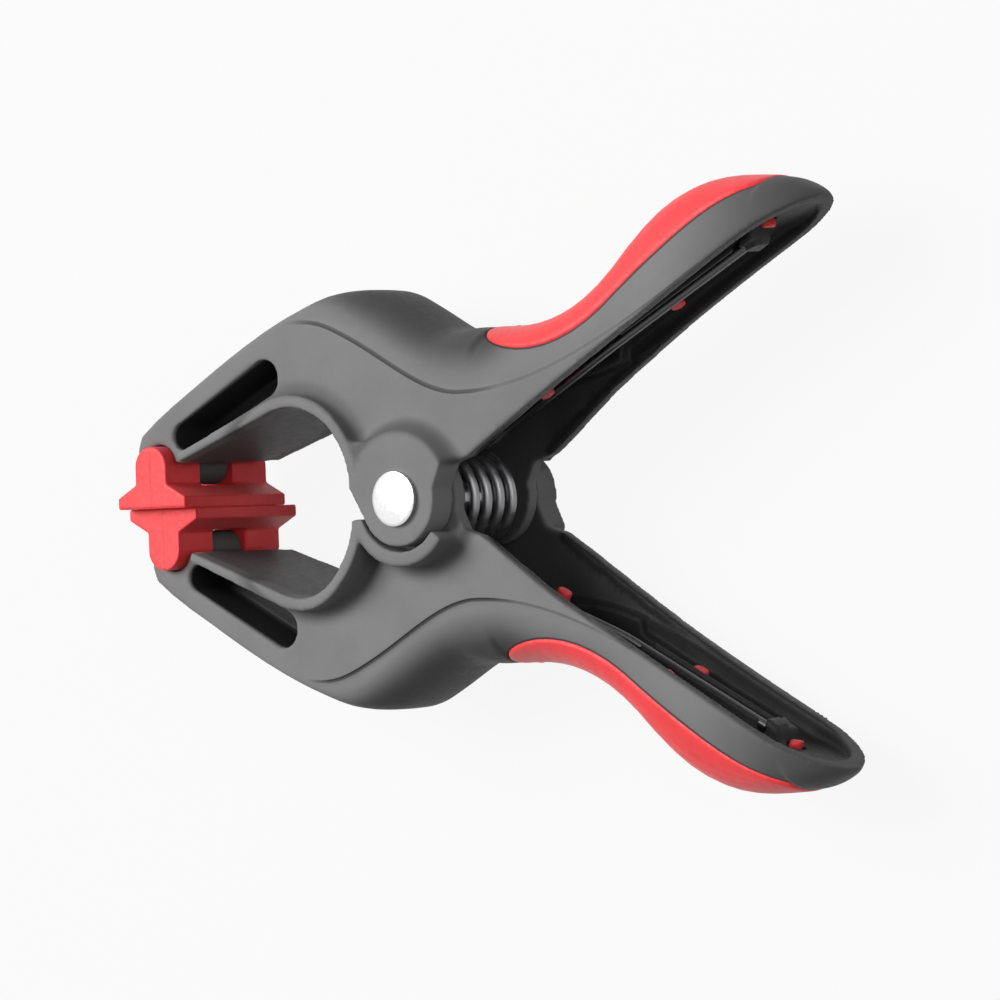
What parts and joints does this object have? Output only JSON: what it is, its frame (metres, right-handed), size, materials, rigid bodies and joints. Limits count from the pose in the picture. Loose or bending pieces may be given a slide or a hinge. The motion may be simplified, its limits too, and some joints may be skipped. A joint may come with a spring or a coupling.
{
  "type": "spring clamp",
  "caption": "Hand spring clamp with nylon arms pivoting on a steel pin, a torsion spring, soft handle grips and swivelling jaw pads that stay parallel as the jaws open.",
  "frame": {"origin": "middle of the bounding box's underside; the clamp lies on its side on the retaining cap's side", "axes": "+X from the jaws to the handles, +Y from the lower arm to the upper arm, +Z along the pivot pin towards its domed head"},
  "size_m": [0.1598, 0.1084, 0.039],
  "materials": {
    "arm_nylon": "moulded glass-filled nylon, charcoal, fine satin grain",
    "soft_red": "soft moulded rubber, red, matt",
    "pin_steel": "bright plated steel",
    "spring_steel": "dark oiled spring steel"
  },
  "bodies": {
    "lower_half": {"lower_arm": "arm_nylon", "lower_grip": "soft_red", "pivot_pin": "pin_steel", "retaining_cap": "pin_steel", "torsion_spring": "spring_steel", "lower_pad_pin": "pin_steel"},
    "upper_half": {"upper_arm": "arm_nylon", "upper_grip": "soft_red", "upper_pad_pin": "pin_steel"},
    "lower_pad": {"lower_jaw_pad": "soft_red"},
    "upper_pad": {"upper_jaw_pad": "soft_red"}
  },
  "joints": [
    {"name": "arm_pivot", "type": "hinge", "parent": "lower_half", "child": "upper_half", "pos_m": [-0.0066, 0, 0.0195], "axis": [0, 0, -1], "range_deg": [0, 50], "stiffness_Nm_per_rad": 3, "springref_deg": -1.15, "deforming": ["torsion_spring"]},
    {"name": "lower_pad_swivel", "type": "hinge", "parent": "lower_half", "child": "lower_pad", "pos_m": [-0.071, -0.00785, 0.0195], "axis": [0, 0, -1], "range_deg": [0, 25]},
    {"name": "upper_pad_swivel", "type": "hinge", "parent": "upper_half", "child": "upper_pad", "pos_m": [-0.071, 0.00785, 0.0195], "axis": [0, 0, 1], "range_deg": [0, 25]}
  ],
  "couplings": [
    {"joint": "lower_pad_swivel", "follows": "arm_pivot", "ratio": 0.5},
    {"joint": "upper_pad_swivel", "follows": "arm_pivot", "ratio": 0.5}
  ]
}
